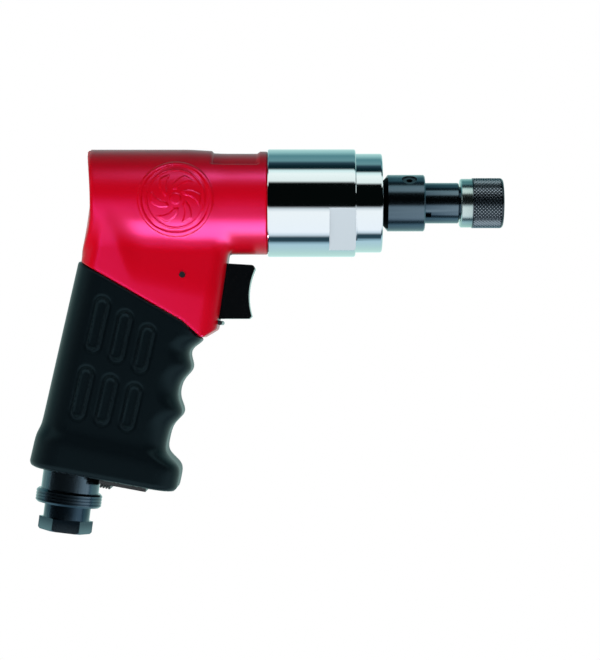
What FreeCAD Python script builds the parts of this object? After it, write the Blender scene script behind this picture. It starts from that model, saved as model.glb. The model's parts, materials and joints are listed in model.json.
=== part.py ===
"""Pistol-grip pneumatic driver with a vane motor, planetary gear and quick-change hex chuck.

Frame: +X along the spindle toward the bit, +Z up, origin on the spindle axis at the
front face of the gear case nose. All lengths in millimetres.
"""
import FreeCAD
import Part
import math
import os

os.makedirs("parts", exist_ok=True)
V = FreeCAD.Vector

# ---------------------------------------------------------------- fits
run_gap = 0.05          # radial clearance of a part that turns or slides
seat_gap = 0.02         # radial clearance of a part that is seated
grip_gap = 0.08         # between the handle core and the cavity of the rubber grip
pocket_gap = 0.15       # side clearance of the trigger in its pocket

# ---------------------------------------------------------------- housing barrel
barrel_r = 22.4
barrel_front_r = 21.6
barrel_swell_x = -83.0  # the full radius ends here and eases down to the neck
neck_x = -66.0
barrel_rear_x = -121.4
joint_x = -47.7         # face where housing meets gear case
rear_dish_r = 109.0     # radius of the shallow scoop across the back
rear_dish_depth = 0.9
scoop_x0 = -70.8        # shallow recess on top of the neck
scoop_x1 = -51.2
scoop_depth = 0.9
scoop_half_deg = 45.0
bore_r = 18.45          # motor bore of the housing
bore_rear_x = -117.5
spigot_r = 20.3         # housing spigot inside the gear case
spigot_len = 7.0

# ---------------------------------------------------------------- handle
handle_x = -93.1        # where the handle axis meets the spindle axis
handle_tilt = 12.8
core_rear = -24.2       # handle core under the grip, across the handle axis
core_front = 22.8
core_half = 17.0
core_len = 114.0
block_rear = -25.5      # painted part of the handle above the grip
block_front_top = 33.0
block_front_low = 35.9
block_half_top = 21.9
block_half_low = 19.2
block_corner_rear = 7.0
toe_s = 46.0            # distance down the handle to the toe under the trigger
toe_tip_w = 30.4
toe_tip_s = 51.1
part_knee_w = 20.8      # knee of the line where grip and paint meet
part_knee_s = 45.8
part_slope = 0.31

# ---------------------------------------------------------------- rubber grip
grip_rear = -27.0
grip_front = 25.6
grip_half = 19.8
grip_flare_front = 8.3
grip_flare_rear = 1.3
grip_flare_s = 103.0
grip_tip_height = 4.8   # rise of the grip up to the toe
ridge_heights = (3.2, 3.6)
ridge_places = (64.2, 83.3)
ridge_width = 4.8
corner_rear = 13.0
corner_front = 10.0
pill_depth = 0.8
pill_w = 4.8
pill_pitch = 10.4
pill_columns = 3
pill_first_w = -12.4    # rear column of raised pads, across the handle axis
upper_pill_s = (44.0, 66.0)     # ends of the rear pad of the upper row, down the handle
upper_pill_step = (3.6, 2.0)    # added to those ends for each column further forward
lower_pill_s = (73.5, 94.5)
lower_pill_step = (1.2, 0.0)

# ---------------------------------------------------------------- base of the handle
base_x = -129.8         # air inlet axis on the bottom plane of the grip
base_z = -112.5
base_tilt = 7.5
bottom_tilt = 10.5      # slant of the bottom plane of the grip

# ---------------------------------------------------------------- gear case
case_r = 22.55
case_step_x = -11.1
nose_r = 20.7
flat_x0 = -22.1
flat_x1 = -11.1
flat_half = 20.0
flat_deg = 35.7         # how far the wrench flats are turned below level
ring_seat_x = -37.0
case_cavity_r = 16.8

# ---------------------------------------------------------------- spindle and bearings
shaft_r = 7.0
rear_bearing_r = 13.5
rear_bearing_x0 = -27.0
rear_bearing_x1 = -18.0
front_bearing_r = 12.5
front_bearing_x0 = -13.0
front_bearing_x1 = -5.0
carrier_r = 15.5
carrier_x0 = -36.8
carrier_x1 = -29.0
stub_r = 5.5
stub_end_x = 13.5

# ---------------------------------------------------------------- planetary gear
gear_module = 0.85
sun_teeth = 12
planet_teeth = 12
ring_teeth = sun_teeth + 2 * planet_teeth
pressure_deg = 25.0
tooth_play = 0.16       # thinning of every tooth at the pitch circle
planet_x0 = -46.5
planet_x1 = -38.0
planet_count = 3
pin_r = 2.2
ring_x0 = -55.0

# ---------------------------------------------------------------- vane motor
motor_r = 18.35
rear_plate_x0 = -117.0
rear_plate_x1 = -110.0
front_plate_x0 = -62.0
front_plate_x1 = -55.0
chamber_r = 15.0        # bore of the motor cylinder
chamber_offset = 1.5    # how far that bore sits above the spindle axis
rotor_r = 13.3
rotor_end_gap = 0.2
journal_r = 3.5
motor_bearing_r = 8.0
vane_count = 5
vane_t = 1.5
vane_slot_depth = 6.6
vane_h = 6.0

# ---------------------------------------------------------------- trigger and throttle
trigger_z = -37.5
trigger_half = 9.8
trigger_top_z = -25.6
trigger_low_z = -48.6
trigger_back_x = -74.0
trigger_front_x = -53.0
trigger_knee_x = -64.1  # top of the finger block slopes down from here
pocket_end_x = -80.1
bushing_r = 7.0
bushing_x0 = -92.0
stem_r = 2.0
seat_x0 = -98.0
seat_x1 = -95.0
valve_bore_r = 6.5
valve_bore_end = -112.0
poppet_r = 5.2
poppet_x0 = -101.0
roll_pin_x = -82.7
roll_pin_z = -30.5
roll_pin_r = 1.25
guide_pin_x = -67.3
guide_pin_z = -50.3
guide_pin_r = 0.9

# ---------------------------------------------------------------- adapter and chuck
adapter_x0 = 0.6
adapter_x1 = 17.9
adapter_r = 11.85
adapter_rear_r = 9.45
set_screw_x = 11.4
set_screw_deg = 54.0
set_screw_r = 3.15
chuck_r = 8.5
chuck_x0 = 18.1
chuck_shoulder_x = 32.2
chuck_nose_r = 6.8
chuck_nose_x = 49.8
chuck_tail_r = 6.5
chuck_tail_x = 14.5
hex_flat = 6.5          # across flats of the bit socket
socket_x = 26.0
ball_r = 2.0
ball_x = 38.6
sleeve_x0 = 32.8
band_r = 10.2
band_x1 = 37.6
knurl_r = 10.5
sleeve_x1 = 50.8
sleeve_web_x = 41.4     # front face of the web the sleeve spring pushes on
sleeve_pocket_r = 9.0
sleeve_spring_r = 7.9   # middle of the coils
sleeve_spring_turns = 3.5
stop_ring_x0 = 48.4
stop_ring_x1 = 49.5
stop_ring_r = 8.8
stop_groove_r = 6.0

# ---------------------------------------------------------------- air inlet
inlet_r = 12.1
inlet_thread_r = 10.2
inlet_in_depth = 16.0
inlet_shoulder = 4.0
collar_step = 1.7       # how far the collar stands out from the plain cylinder
collar_r = inlet_r + collar_step
collar_t0 = 8.2
collar_t1 = 14.0
neck_r = 9.7
hex_t0 = 20.0
hex_t1 = 25.3
hex_inlet_flat = 19.6
hex_turn_deg = 7.0
inlet_bore_r = 5.6      # tapped bore for a quarter-inch pipe fitting
inlet_bore_len = 12.0

# ---------------------------------------------------------------- exhaust
plate_gap = 0.9         # between the exhaust plate and the plain cylinder of the inlet
plate_x0 = inlet_r + plate_gap      # measured forward from the air inlet axis
plate_x1 = 32.6
plate_half = 14.8
plate_t = 1.8
plug_x0 = 15.9          # raised block of the plate inside the exhaust chamber
plug_len = 13.0
plug_half = 11.5
slot_count = 4
slot_pitch = 2.7


def rod(radius, x0, x1, y=0.0, z=0.0):
    return Part.makeCylinder(radius, x1 - x0, V(x0, y, z), V(1, 0, 0))


def ring(outer, inner, x0, x1, y=0.0, z=0.0):
    return rod(outer, x0, x1, y, z).cut(rod(inner, x0 - 1, x1 + 1, y, z))


def turned(points):
    """Solid of revolution about the spindle axis from (x, radius) corners."""
    corners = [V(x, 0, r) for x, r in points]
    face = Part.Face(Part.makePolygon(corners + [corners[0]]))
    return face.revolve(V(0, 0, 0), V(1, 0, 0), 360)


def box(x0, x1, y0, y1, z0, z1):
    return Part.makeBox(x1 - x0, y1 - y0, z1 - z0, V(x0, y0, z0))


def fused(shapes):
    whole = shapes[0].fuse(shapes[1:])
    return whole.removeSplitter()


def on_handle(shape):
    """Place a shape drawn in handle coordinates: x across, y aside, -z down the axis."""
    placed = shape.copy()
    placed.rotate(V(0, 0, 0), V(0, 1, 0), handle_tilt)
    placed.translate(V(handle_x, 0, 0))
    return placed


def on_base(shape):
    """Place a shape drawn about the air inlet axis, with -z leading out of the tool."""
    placed = shape.copy()
    placed.rotate(V(0, 0, 0), V(0, 1, 0), base_tilt)
    placed.translate(V(base_x, 0, base_z))
    return placed


def on_bottom(shape):
    """Place a shape drawn on the slanted bottom plane of the grip, -z leading out of it."""
    placed = shape.copy()
    placed.rotate(V(0, 0, 0), V(0, 1, 0), bottom_tilt)
    placed.translate(V(base_x, 0, base_z))
    return placed


def base_rod(radius, t0, t1):
    return Part.makeCylinder(radius, t1 - t0, V(0, 0, -t1), V(0, 0, 1))


def rounded_wire(s, rear, front, half, r_rear, r_front):
    """Closed outline across the handle, s below the spindle axis."""
    z = -s
    turn = math.sqrt(0.5)

    def corner(cx, cy, radius, sx, sy):
        ends = [V(cx + sx * radius, cy, z), V(cx, cy + sy * radius, z)]
        mid = V(cx + sx * radius * turn, cy + sy * radius * turn, z)
        return ends, mid

    rear_cx = rear + r_rear
    front_cx = front - r_front
    a, am = corner(front_cx, half - r_front, r_front, 1, 1)
    b, bm = corner(rear_cx, half - r_rear, r_rear, -1, 1)
    c, cm = corner(rear_cx, r_rear - half, r_rear, -1, -1)
    d, dm = corner(front_cx, r_front - half, r_front, 1, -1)
    edges = [
        Part.Arc(a[0], am, a[1]).toShape(),
        Part.LineSegment(a[1], b[1]).toShape(),
        Part.Arc(b[1], bm, b[0]).toShape(),
        Part.LineSegment(b[0], c[0]).toShape(),
        Part.Arc(c[0], cm, c[1]).toShape(),
        Part.LineSegment(c[1], d[1]).toShape(),
        Part.Arc(d[1], dm, d[0]).toShape(),
        Part.LineSegment(d[0], a[0]).toShape(),
    ]
    return Part.Wire(edges)


def prism(wire, length):
    """Solid of a wire in a level plane, pushed down by length."""
    return Part.Face(wire).extrude(V(0, 0, -length))


def below_parting():
    """Everything below the line where paint and rubber meet."""
    rear_w = -60.0
    rear_s = part_knee_s + part_slope * (rear_w - part_knee_w)
    outline = [
        (rear_w, rear_s),
        (part_knee_w, part_knee_s),
        (toe_tip_w, toe_tip_s),
        (block_front_low + 0.2, toe_s),
        (60.0, toe_s),
        (60.0, 200.0),
        (rear_w, 200.0),
    ]
    corners = [V(w, -40.0, -s) for w, s in outline]
    face = Part.Face(Part.makePolygon(corners + [corners[0]]))
    return on_handle(face.extrude(V(0, 80.0, 0)))


def beyond_base():
    """Everything below the bottom plane of the grip."""
    return on_bottom(Part.makeBox(200, 80, 60, V(-100, -40, -60)))


def core_shape(extra=0.0):
    """Handle core under the rubber, grown by extra all round for the cavity of the grip."""
    top = rounded_wire(20.0, core_rear - extra, core_front + extra, core_half + extra,
                       11.0 + extra, 8.0 + extra)
    return on_handle(prism(top, core_len)).cut(
        on_bottom(Part.makeBox(200, 80, 60, V(-100, -40, -60 + 4.0)))
    )


def inlet_channel():
    """Air way from the inlet bore up to the throttle valve."""
    start = V(base_x + 14.0 * math.sin(math.radians(base_tilt)), 0,
              base_z + 14.0 * math.cos(math.radians(base_tilt)))
    goal = V(valve_bore_end + 5.5, 0, trigger_z - 2.0)
    way = goal.sub(start)
    return Part.makeCylinder(5.0, way.Length, start, way)


def exhaust_ways():
    """Two channels beside the valve and the chamber that holds the silencer."""
    shapes = []
    for side in (-1, 1):
        tube = Part.makeCylinder(3.0, 62.0, V(8.0, side * 11.2, -72.0), V(0, 0, 1))
        shapes.append(on_handle(tube))
    chamber = rounded_wire(70.0, 3.2, 19.6, 13.4, 4.0, 4.0)
    shapes.append(on_handle(prism(chamber, 60.0)))
    return shapes


def barrel():
    """Round body with a smooth waist toward the gear case."""
    ends = [V(barrel_swell_x, 0, barrel_r), V(neck_x, 0, barrel_front_r)]
    waist = Part.BSplineCurve()
    waist.interpolate(Points=ends, InitialTangent=V(1, 0, 0), FinalTangent=V(1, 0, 0))
    corners = [
        V(neck_x, 0, barrel_front_r),
        V(joint_x - 0.5, 0, barrel_front_r),
        V(joint_x, 0, barrel_front_r - 0.6),
        V(joint_x, 0, 0),
        V(barrel_rear_x, 0, 0),
        V(barrel_rear_x, 0, barrel_r - 0.6),
        V(barrel_rear_x + 0.6, 0, barrel_r),
        V(barrel_swell_x, 0, barrel_r),
    ]
    edges = [waist.toShape()]
    for start, end in zip(corners, corners[1:]):
        edges.append(Part.LineSegment(start, end).toShape())
    face = Part.Face(Part.Wire(edges))
    return face.revolve(V(0, 0, 0), V(1, 0, 0), 360)


def housing():
    body = barrel()
    top = rounded_wire(0.0, block_rear, block_front_top - 0.9, block_half_top,
                       block_corner_rear, 7.0)
    low = rounded_wire(52.0, block_rear, block_front_low + 0.2, block_half_low,
                       block_corner_rear + 2.0, 6.0)
    block = on_handle(Part.makeLoft([top, low], True, True))
    block = block.cut(below_parting())
    shape = fused([body, block, core_shape()])
    dish = Part.makeCylinder(
        rear_dish_r, 80.0,
        V(barrel_rear_x + rear_dish_depth - rear_dish_r, -40.0, -2.0), V(0, 1, 0))
    shape = shape.cut(dish)
    shape = shape.cut(neck_scoop())
    shape = fused([shape, rod(spigot_r, joint_x - 1, joint_x + spigot_len)])
    cuts = [
        rod(bore_r, bore_rear_x, joint_x + spigot_len + 1),
        rod(valve_bore_r, valve_bore_end, bushing_x0, 0, trigger_z),
        rod(bushing_r + seat_gap, bushing_x0, pocket_end_x + 1, 0, trigger_z),
        box(pocket_end_x, -50.0, -trigger_half - pocket_gap, trigger_half + pocket_gap,
            trigger_low_z - pocket_gap, trigger_top_z + pocket_gap),
        Part.makeCylinder(roll_pin_r, 60.0, V(roll_pin_x, -30.0, roll_pin_z), V(0, 1, 0)),
        Part.makeCylinder(guide_pin_r, 60.0, V(guide_pin_x, -30.0, guide_pin_z), V(0, 1, 0)),
        Part.makeCylinder(2.2, 18.0, V(-93.5, 0, trigger_z + 4.0), V(0, 0, 1)),
        inlet_channel(),
        on_base(base_rod(inlet_thread_r + seat_gap, -inlet_in_depth - 0.2, 10.0)),
        on_base(base_rod(inlet_r + seat_gap, -inlet_shoulder, 10.0)),
    ]
    cuts.extend(exhaust_ways())
    return shape.cut(cuts)


def neck_scoop():
    """Shallow recess over the top of the neck, bounded at 45 degrees on each side."""
    outer = ring(barrel_r + 3, barrel_front_r - scoop_depth, scoop_x0, scoop_x1)
    reach = 40.0
    side = reach * math.tan(math.radians(scoop_half_deg))
    corners = [V(scoop_x0, 0, 0), V(scoop_x0, side, reach), V(scoop_x0, -side, reach)]
    wedge = Part.Face(Part.makePolygon(corners + [corners[0]]))
    wedge = wedge.extrude(V(scoop_x1 - scoop_x0, 0, 0))
    return outer.common(wedge)


def grip_edge(s):
    """Front and rear of the grip across the handle axis, s below the spindle axis."""
    flare = 0.5 + 0.5 * math.tanh((s - grip_flare_s) / 2.6)
    front = grip_front + grip_flare_front * flare
    front += grip_tip_height * math.exp(-((max(s, toe_tip_s) - toe_tip_s) / 4.6) ** 2)
    for height, place in zip(ridge_heights, ridge_places):
        front += height * math.exp(-((s - place) / ridge_width) ** 2)
    rear = grip_rear - grip_flare_rear * flare
    half = grip_half + 1.3 * flare
    return rear, front, half


def grip_outer():
    wires = []
    count = 32
    for i in range(count):
        s = 20.0 + 108.0 * i / (count - 1)
        rear, front, half = grip_edge(s)
        wires.append(rounded_wire(s, rear, front, half, corner_rear, corner_front))
    return on_handle(Part.makeLoft(wires, True, False))


def grip_pads():
    """Raised oval pads on both sides of the grip."""
    pads = []
    radius = pill_w / 2
    span = 1.0 + pill_depth
    for row, step in ((upper_pill_s, upper_pill_step), (lower_pill_s, lower_pill_step)):
        for column in range(pill_columns):
            w = pill_first_w + pill_pitch * column
            s0 = row[0] + step[0] * column + radius
            s1 = row[1] + step[1] * column - radius
            for y in (grip_half - 1.0, -grip_half - pill_depth):
                ends = [Part.makeCylinder(radius, span, V(w, y, -s), V(0, 1, 0)) for s in (s0, s1)]
                middle = Part.makeBox(pill_w, span, s1 - s0, V(w - radius, y, -s1))
                pads.append(on_handle(ends[0].fuse([ends[1], middle]).removeSplitter()))
    return pads


def grip():
    shape = grip_outer().common(below_parting())
    shape = shape.fuse(grip_pads())
    shape = shape.cut([core_shape(grip_gap), beyond_base()])
    opening = on_handle(prism(rounded_wire(100.0, 3.2, 19.6, 13.4, 4.0, 4.0), 40.0))
    shape = shape.cut([opening, on_base(base_rod(inlet_r + seat_gap, -8.0, 12.0))])
    return shape.removeSplitter()


def gear_case():
    shape = turned([
        (joint_x, 0),
        (joint_x, case_r - 0.5),
        (joint_x + 0.5, case_r),
        (case_step_x - 0.6, case_r),
        (case_step_x, case_r - 0.6),
        (case_step_x, nose_r),
        (-0.5, nose_r),
        (0, nose_r - 0.5),
        (0, 0),
    ])
    normal = V(0, -math.cos(math.radians(flat_deg)), -math.sin(math.radians(flat_deg)))
    for side in (1, -1):
        slab = Part.makeBox(flat_x1 - flat_x0, 10.0, 60.0, V(flat_x0, flat_half, -30.0))
        turn = math.degrees(math.atan2(normal.z * side, normal.y * side))
        slab.rotate(V(0, 0, 0), V(1, 0, 0), turn)
        shape = shape.cut(slab)
    cuts = [
        rod(spigot_r, joint_x - 1, joint_x + spigot_len),
        rod(bore_r, joint_x, ring_seat_x),
        rod(case_cavity_r, ring_seat_x - 1, rear_bearing_x0),
        rod(rear_bearing_r + seat_gap, rear_bearing_x0 - 1, rear_bearing_x1),
        rod(9.5, rear_bearing_x1 - 1, front_bearing_x0 + 1),
        rod(front_bearing_r + seat_gap, front_bearing_x0, 1.0),
        ring(front_bearing_r + 0.9, front_bearing_r - 1, -4.8, -3.6),
    ]
    return shape.cut(cuts)


def involute_half(base, radius):
    """Angle from where an involute leaves its base circle to the given radius."""
    angle = math.acos(min(1.0, base / radius))
    return math.tan(angle) - angle


def gear_flank(teeth, tip, root, thin, inward):
    """Points of one tooth flank as (radius, half angle of the tooth)."""
    pitch = gear_module * teeth / 2
    base = pitch * math.cos(math.radians(pressure_deg))
    at_pitch = involute_half(base, pitch)
    half = math.pi / (2 * teeth) - thin / (2 * pitch)
    points = []
    start = max(root, base)
    if inward:
        start = root
    steps = 6
    for i in range(steps + 1):
        radius = start + (tip - start) * i / steps
        swing = involute_half(base, max(radius, base)) - at_pitch
        points.append((radius, half + swing if inward else half - swing))
    if not inward and root < base:
        points.insert(0, (root, points[0][1]))
    return points


def gear_face(teeth, tip, root, thin, inward, turn):
    """Gear outline in the plane across the spindle as one face."""
    flank = gear_flank(teeth, tip, root, thin, inward)
    edges = []
    first = None
    last = None

    def spot(radius, angle):
        return V(0, radius * math.cos(angle), radius * math.sin(angle))

    for tooth in range(teeth):
        mid = turn + 2 * math.pi * tooth / teeth
        left = [spot(r, mid - a) for r, a in flank]
        right = [spot(r, mid + a) for r, a in reversed(flank)]
        if last is not None:
            edges.append(Part.LineSegment(last, left[0]).toShape())
        else:
            first = left[0]
        skip = 0 if inward or flank[0][0] >= flank[1][0] - 1e-6 else 1
        if not inward and flank[0][0] < flank[1][0] and abs(flank[0][1] - flank[1][1]) < 1e-9:
            edges.append(Part.LineSegment(left[0], left[1]).toShape())
        else:
            skip = 0
        curve = Part.BSplineCurve()
        curve.interpolate(left[skip:])
        edges.append(curve.toShape())
        edges.append(Part.Arc(left[-1], spot(flank[-1][0], mid), right[0]).toShape())
        curve = Part.BSplineCurve()
        curve.interpolate(right[:len(right) - skip])
        edges.append(curve.toShape())
        if skip:
            edges.append(Part.LineSegment(right[-2], right[-1]).toShape())
        last = right[-1]
    edges.append(Part.LineSegment(last, first).toShape())
    return Part.Face(Part.Wire(edges))


def external_gear(teeth, x0, x1, turn):
    pitch = gear_module * teeth / 2
    face = gear_face(teeth, pitch + gear_module, pitch - 1.25 * gear_module,
                     tooth_play, False, turn)
    shape = face.extrude(V(x1 - x0, 0, 0))
    shape.translate(V(x0, 0, 0))
    return shape


def ring_gear():
    """Internal gear; its tooth spaces are cut by a face like an outward gear."""
    pitch = gear_module * ring_teeth / 2
    space_turn = math.pi / ring_teeth
    face = gear_face(ring_teeth, pitch + 1.25 * gear_module, pitch - gear_module,
                     -tooth_play, False, space_turn)
    cutter = face.extrude(V(ring_seat_x - ring_x0 + 2, 0, 0))
    cutter.translate(V(ring_x0 - 1, 0, 0))
    return rod(motor_r, ring_x0, ring_seat_x).cut(cutter)


def planet_centre(index):
    angle = 2 * math.pi * index / planet_count
    reach = gear_module * (sun_teeth + planet_teeth) / 2
    return reach * math.cos(angle), reach * math.sin(angle), angle


def planet_gear(index):
    y, z, angle = planet_centre(index)
    shape = external_gear(planet_teeth, planet_x0, planet_x1, angle + math.pi / planet_teeth)
    shape = shape.cut(rod(pin_r + run_gap, planet_x0 - 1, planet_x1 + 1))
    shape.translate(V(0, y, z))
    return shape


def planet_pins():
    pins = []
    for index in range(planet_count):
        y, z, angle = planet_centre(index)
        pins.append(rod(pin_r, planet_x0 - 0.4, carrier_x1 - 0.8, y, z))
    return Part.makeCompound(pins)


def spindle():
    shape = turned([
        (carrier_x0, 0),
        (carrier_x0, carrier_r),
        (carrier_x1, carrier_r),
        (carrier_x1, 9.5),
        (rear_bearing_x0, 9.5),
        (rear_bearing_x0, shaft_r),
        (-0.2, shaft_r),
        (0.2, stub_r),
        (stub_end_x - 0.5, stub_r),
        (stub_end_x, stub_r - 0.5),
        (stub_end_x, 0),
    ])
    cuts = []
    for index in range(planet_count):
        y, z, angle = planet_centre(index)
        cuts.append(rod(pin_r, carrier_x0 - 1, carrier_x1 - 0.8, y, z))
    return shape.cut(cuts)


def bearing(x0, x1, inner, outer):
    """Sealed ball bearing: a ring with a shallow shield groove in each face."""
    shape = ring(outer, inner, x0, x1)
    low = inner + 0.3 * (outer - inner)
    high = inner + 0.7 * (outer - inner)
    return shape.cut([ring(high, low, x0 - 1, x0 + 0.5), ring(high, low, x1 - 0.5, x1 + 1)])


def motor_cylinder():
    shape = rod(motor_r, rear_plate_x1, front_plate_x0)
    chamber = rod(chamber_r, rear_plate_x1 - 1, front_plate_x0 + 1, 0, chamber_offset)
    shape = shape.cut([chamber, alignment_rod(0.0)])
    ports = []
    for i in range(6):
        x = rear_plate_x1 + 8.0 + 6.0 * i
        ports.append(Part.makeCylinder(1.6, 12.0, V(x, 0, -10.0), V(0, -0.5, -1)))
    return shape.cut(ports)


def alignment_rod(extra):
    """Dowel that stops the motor parts turning against each other."""
    return rod(1.0 + extra, rear_plate_x0 + 2.0, front_plate_x1 - 2.0, 0, -16.6)


def motor_plate(x0, x1, pocket_x0, pocket_x1):
    shape = ring(motor_r, journal_r + 0.4, x0, x1)
    pocket = rod(motor_bearing_r + seat_gap, pocket_x0, pocket_x1)
    return shape.cut([pocket, alignment_rod(0.0)])


def rotor():
    x0 = rear_plate_x1 + rotor_end_gap
    x1 = front_plate_x0 - rotor_end_gap
    parts = [
        rod(rotor_r, x0, x1),
        rod(journal_r, rear_plate_x0 + 0.8, planet_x0),
        external_gear(sun_teeth, planet_x0 - 1.5, carrier_x0 - 0.7, 0.0),
    ]
    shape = fused(parts)
    slots = []
    for i in range(vane_count):
        slot = box(x0 - 1, x1 + 1, -vane_t / 2 - 0.05, vane_t / 2 + 0.05,
                   rotor_r - vane_slot_depth, rotor_r + 1)
        slot.rotate(V(0, 0, 0), V(1, 0, 0), 360.0 * i / vane_count)
        slots.append(slot)
    return shape.cut(slots)


def vanes():
    blades = []
    for i in range(vane_count):
        blade = box(rear_plate_x1 + 0.4, front_plate_x0 - 0.4, -vane_t / 2, vane_t / 2,
                    rotor_r - vane_h - 0.1, rotor_r - 0.1)
        blade.rotate(V(0, 0, 0), V(1, 0, 0), 360.0 * i / vane_count)
        blades.append(blade)
    return Part.makeCompound(blades)


def trigger():
    """Finger block with a hollow front face."""
    top_front = V(trigger_front_x - 1.3, -trigger_half, trigger_top_z - 0.6)
    nose = V(trigger_front_x, -trigger_half, trigger_top_z - 2.3)
    round_mid = V(trigger_front_x - 0.38, -trigger_half, trigger_top_z - 1.1)
    hollow = V(trigger_front_x - 2.5, -trigger_half, trigger_z - 2.0)
    chin = V(trigger_front_x - 1.3, -trigger_half, trigger_low_z + 1.0)
    foot = V(trigger_front_x - 2.3, -trigger_half, trigger_low_z)
    back_low = V(trigger_back_x, -trigger_half, trigger_low_z)
    back_top = V(trigger_back_x, -trigger_half, trigger_top_z)
    knee = V(trigger_knee_x, -trigger_half, trigger_top_z)
    edges = [
        Part.LineSegment(back_top, knee).toShape(),
        Part.LineSegment(knee, top_front).toShape(),
        Part.Arc(top_front, round_mid, nose).toShape(),
        Part.Arc(nose, hollow, chin).toShape(),
        Part.LineSegment(chin, foot).toShape(),
        Part.LineSegment(foot, back_low).toShape(),
        Part.LineSegment(back_low, back_top).toShape(),
    ]
    shape = Part.Face(Part.Wire(edges)).extrude(V(0, 2 * trigger_half, 0))
    hollow_back = box(trigger_back_x - 1, -60.0, -7.6, 7.6, trigger_low_z + 2.2, trigger_top_z - 2.2)
    boss = rod(4.2, trigger_back_x, -59.0, 0, trigger_z)
    shape = shape.cut(hollow_back)
    shape = shape.fuse(boss).removeSplitter()
    return shape.cut(rod(stem_r, trigger_back_x - 1, -66.0, 0, trigger_z))


def valve_stem():
    shape = rod(stem_r, poppet_x0 + 1.0, -66.0, 0, trigger_z)
    head = rod(poppet_r, poppet_x0, seat_x0 - 1.2, 0, trigger_z)
    return shape.fuse(head).removeSplitter()


def valve_seal():
    """Rubber washer on the valve head that closes on the seat."""
    return ring(poppet_r, stem_r, seat_x0 - 1.2, seat_x0 - 0.02, 0, trigger_z)


def coil(x0, x1, mean_r, wire_r, turns, y=0.0, z=0.0):
    """Compression spring along the spindle direction."""
    height = x1 - x0 - 2 * wire_r
    path = Part.makeHelix(height / turns, height, mean_r)
    start = V(mean_r, 0, 0)
    section = Part.Wire(Part.makeCircle(wire_r, start, V(0, 1, 0)))
    solid = Part.Wire(path).makePipeShell([section], True, True)
    solid.rotate(V(0, 0, 0), V(0, 1, 0), 90)
    solid.translate(V(x0 + wire_r, y, z))
    return solid


def adapter():
    shape = turned([
        (adapter_x0, 0),
        (adapter_x0, adapter_rear_r),
        (adapter_x0 + 1.9, adapter_r),
        (adapter_x1 - 0.5, adapter_r),
        (adapter_x1, adapter_r - 0.5),
        (adapter_x1, 0),
    ])
    return shape.cut([
        rod(stub_r, adapter_x0 - 1, stub_end_x + 0.5),
        rod(chuck_tail_r, chuck_tail_x - 0.5, adapter_x1 + 1),
        screw_rod(set_screw_r, stub_r - 1.0, adapter_r + 1),
    ])


def screw_rod(radius, r0, r1):
    way = V(0, -math.cos(math.radians(set_screw_deg)), math.sin(math.radians(set_screw_deg)))
    start = V(set_screw_x, way.y * r0, way.z * r0)
    return Part.makeCylinder(radius, r1 - r0, start, way)


def set_screw():
    shape = screw_rod(set_screw_r, stub_r + 0.1, adapter_r - 0.8)
    way = V(0, -math.cos(math.radians(set_screw_deg)), math.sin(math.radians(set_screw_deg)))
    face_r = adapter_r - 0.8
    corners = []
    for i in range(6):
        a = math.radians(60 * i)
        side = V(0, way.z, -way.y)
        spot = V(set_screw_x + 1.45 * math.cos(a), 0, 0) + side * (1.45 * math.sin(a))
        corners.append(spot + way * (face_r - 2.6))
    socket = Part.Face(Part.makePolygon(corners + [corners[0]])).extrude(way * 4.0)
    return shape.cut(socket)


def hex_prism(flat, x0, x1, turn_deg):
    corners = []
    for i in range(6):
        a = math.radians(60 * i + turn_deg)
        reach = flat / math.sqrt(3)
        corners.append(V(x0, reach * math.cos(a), reach * math.sin(a)))
    return Part.Face(Part.makePolygon(corners + [corners[0]])).extrude(V(x1 - x0, 0, 0))


def chuck_body():
    shape = turned([
        (chuck_tail_x, 0),
        (chuck_tail_x, chuck_tail_r),
        (chuck_x0, chuck_tail_r),
        (chuck_x0, chuck_r),
        (chuck_shoulder_x - 0.4, chuck_r),
        (chuck_shoulder_x, chuck_r - 0.4),
        (chuck_shoulder_x, chuck_nose_r),
        (stop_ring_x0, chuck_nose_r),
        (stop_ring_x0, stop_groove_r),
        (stop_ring_x1, stop_groove_r),
        (stop_ring_x1, chuck_nose_r - 0.3),
        (chuck_nose_x, chuck_nose_r - 0.6),
        (chuck_nose_x, 0),
    ])
    cuts = [hex_prism(hex_flat, socket_x, chuck_nose_x + 1, 0)]
    for side in (-1, 1):
        hole_way = V(0, 0, side)
        cuts.append(Part.makeCylinder(ball_r + run_gap, 6.0, V(ball_x, 0, side * 3.95), hole_way))
        cuts.append(Part.makeCylinder(ball_r - 0.2, 6.0, V(ball_x, 0, side * 1.0), hole_way))
    slot = box(chuck_x0 - 1, chuck_x0 + 2.4, -chuck_r - 2, -chuck_r + 1.6, -1.2, 1.2)
    slot.rotate(V(0, 0, 0), V(1, 0, 0), 38)
    cuts.append(slot)
    return shape.cut(cuts)


def chuck_balls():
    reach = chuck_nose_r + 0.05 - ball_r
    return Part.makeCompound([
        Part.makeSphere(ball_r, V(ball_x, 0, reach)),
        Part.makeSphere(ball_r, V(ball_x, 0, -reach)),
    ])


def chuck_sleeve():
    """Plain rear band and the thin tube that carries the knurled ring."""
    shape = turned([
        (sleeve_x0, chuck_nose_r + 2 * run_gap),
        (sleeve_x0, band_r - 0.5),
        (sleeve_x0 + 0.5, band_r),
        (band_x1, band_r),
        (band_x1, sleeve_pocket_r + 0.45),
        (sleeve_x1 - 0.8, sleeve_pocket_r + 0.45),
        (sleeve_x1 - 0.8, sleeve_pocket_r),
        (sleeve_web_x, sleeve_pocket_r),
        (sleeve_web_x, chuck_nose_r + 2 * run_gap),
    ])
    pocket = ring(8.4, chuck_nose_r - 1, ball_x - 4.9, ball_x - 1.5)
    return shape.cut(pocket)


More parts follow.
